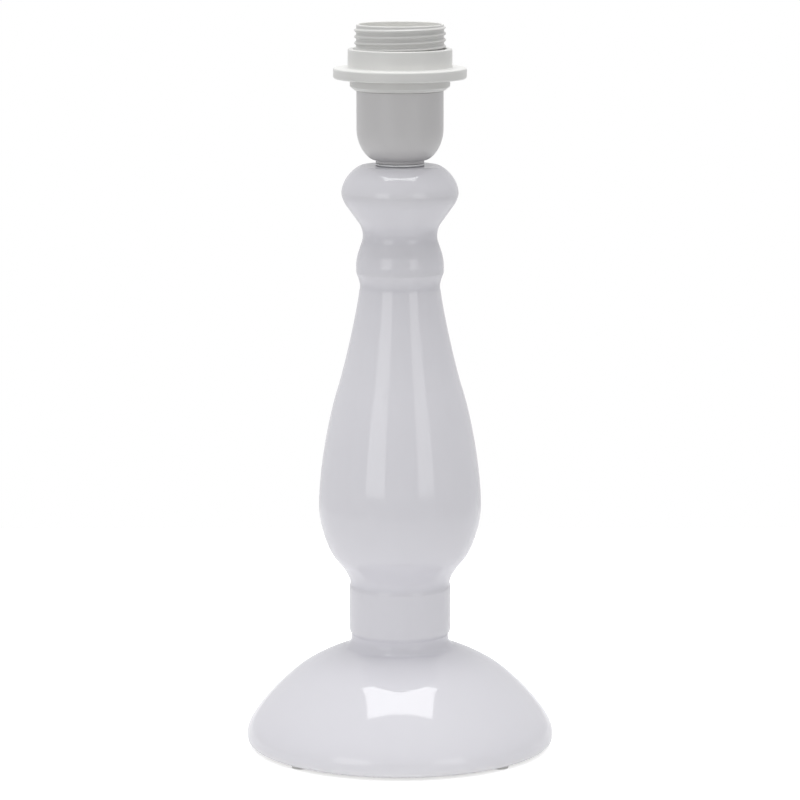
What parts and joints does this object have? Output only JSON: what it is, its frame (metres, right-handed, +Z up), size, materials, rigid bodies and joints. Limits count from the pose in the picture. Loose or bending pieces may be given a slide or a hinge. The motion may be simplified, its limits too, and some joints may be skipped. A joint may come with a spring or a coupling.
{
  "type": "table lamp",
  "caption": "Turned white glazed ceramic lamp base with a domed foot, a slender baluster stem and a white plastic screw-ring lampholder, without shade or cord.",
  "frame": {"origin": "on the turned axis, on the surface that the foot pads stand on", "axes": "+Z up along the turned axis, -Y the front, +Y the rear with the cable outlet"},
  "size_m": [0.1348, 0.1348, 0.3172],
  "materials": {
    "white_glaze": "clear gloss glaze over white",
    "white_felt": "pressed felt",
    "white_rubber": "soft matt",
    "zinc_plated_steel": "bright zinc plate",
    "white_plastic": "satin moulded thermoplastic",
    "insulator_plastic": "matt thermoset",
    "brass": "stamped brass",
    "nickel_plate": "nickel-plated sheet"
  },
  "bodies": {
    "lamp": {"ceramic_body": "white_glaze", "foot_pad_1": "white_felt", "foot_pad_2": "white_felt", "foot_pad_3": "white_felt", "foot_pad_4": "white_felt", "cable_bush": "white_rubber", "threaded_tube": "zinc_plated_steel", "clamp_washer": "zinc_plated_steel", "spring_washer": "zinc_plated_steel", "hex_nut": "zinc_plated_steel", "tube_end_cap": "white_plastic", "neck_washer": "zinc_plated_steel", "lampholder_cap": "white_plastic", "grub_screw": "zinc_plated_steel", "lampholder_skirt": "white_plastic", "contact_carrier": "insulator_plastic", "screw_shell": "nickel_plate", "shell_rivet_1": "brass", "shell_rivet_2": "brass", "live_terminal": "brass", "live_screw": "zinc_plated_steel", "neutral_terminal": "brass", "neutral_screw": "zinc_plated_steel"},
    "shade_ring": {"shade_ring": "white_plastic"},
    "centre_contact": {"centre_contact": "brass"}
  },
  "joints": [
    {"name": "shade_ring_lift", "type": "slide", "parent": "lamp", "child": "shade_ring", "axis": [0, 0, 1], "range_m": [0, 0.03]},
    {"name": "centre_contact_press", "type": "hinge", "parent": "lamp", "child": "centre_contact", "pos_m": [0.00605, 0, 0.29065], "axis": [0, -1, 0], "range_deg": [0, 10], "stiffness_Nm_per_rad": 0.2}
  ]
}
